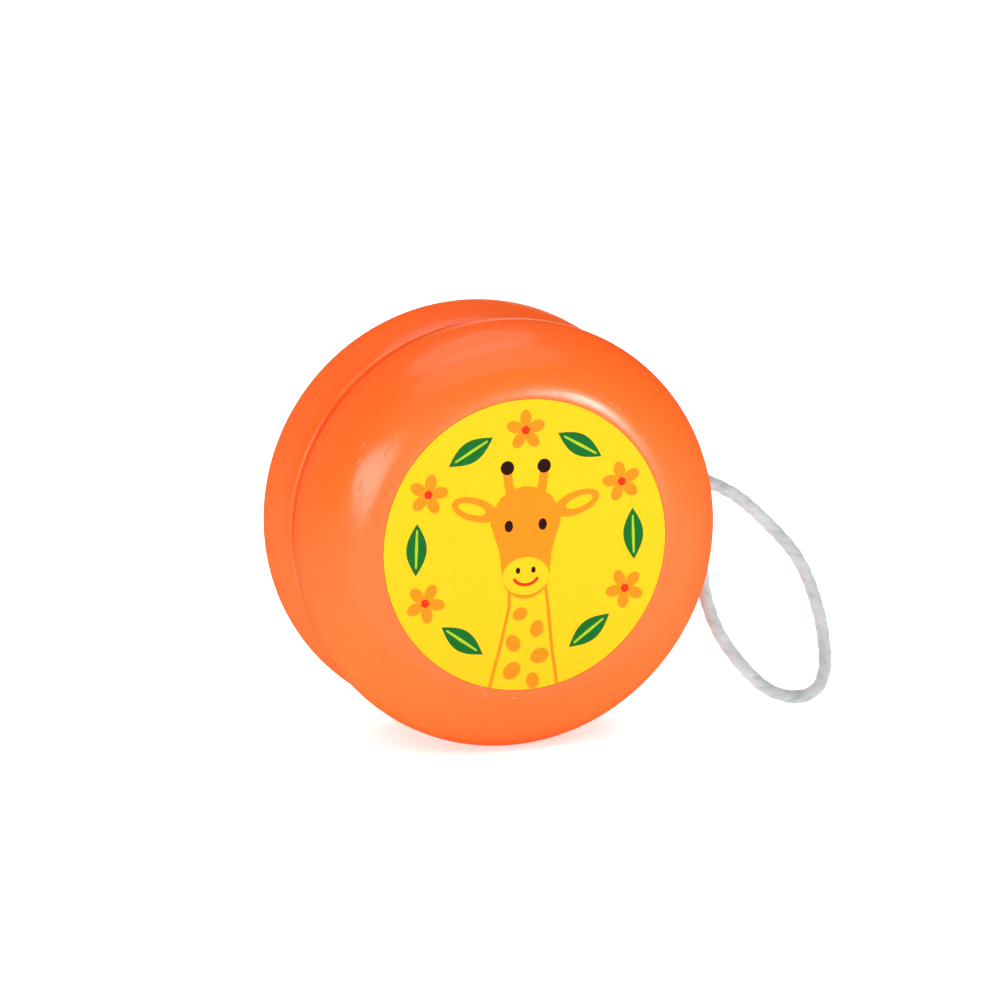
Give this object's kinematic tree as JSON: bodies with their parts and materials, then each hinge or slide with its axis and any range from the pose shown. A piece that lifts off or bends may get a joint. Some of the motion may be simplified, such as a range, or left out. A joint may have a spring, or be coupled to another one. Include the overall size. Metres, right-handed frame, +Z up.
{
  "type": "yo-yo",
  "caption": "Turned wooden yo-yo with a flush printed label, its string wound on the axle and ending in a finger loop.",
  "frame": {"origin": "middle of the axle, in the middle of the groove", "axes": "+Y along the axle from the label to the plain rear face, so the label faces -Y; +Z up; +X towards the finger loop"},
  "size_m": [0.0826, 0.0324, 0.06],
  "materials": {
    "orange_paint": "satin orange paint on turned beech",
    "bare_wood": "bare sanded beech dowel",
    "printed_label": "printed paper label under a thin clear film",
    "white_cotton": "white three-strand twisted cotton cord"
  },
  "bodies": {
    "string": {"string_winding": "white_cotton", "string_lead": "white_cotton", "slip_knot": "white_cotton", "string_finger_loop": "white_cotton"},
    "spool": {"front_half": "orange_paint", "rear_half": "orange_paint", "axle_dowel": "bare_wood", "front_label": "printed_label"}
  },
  "joints": [
    {"name": "spool_spin", "type": "hinge", "parent": "string", "child": "spool", "pos_m": [0, 0, 0], "axis": [0, 1, 0], "continuous": true}
  ]
}
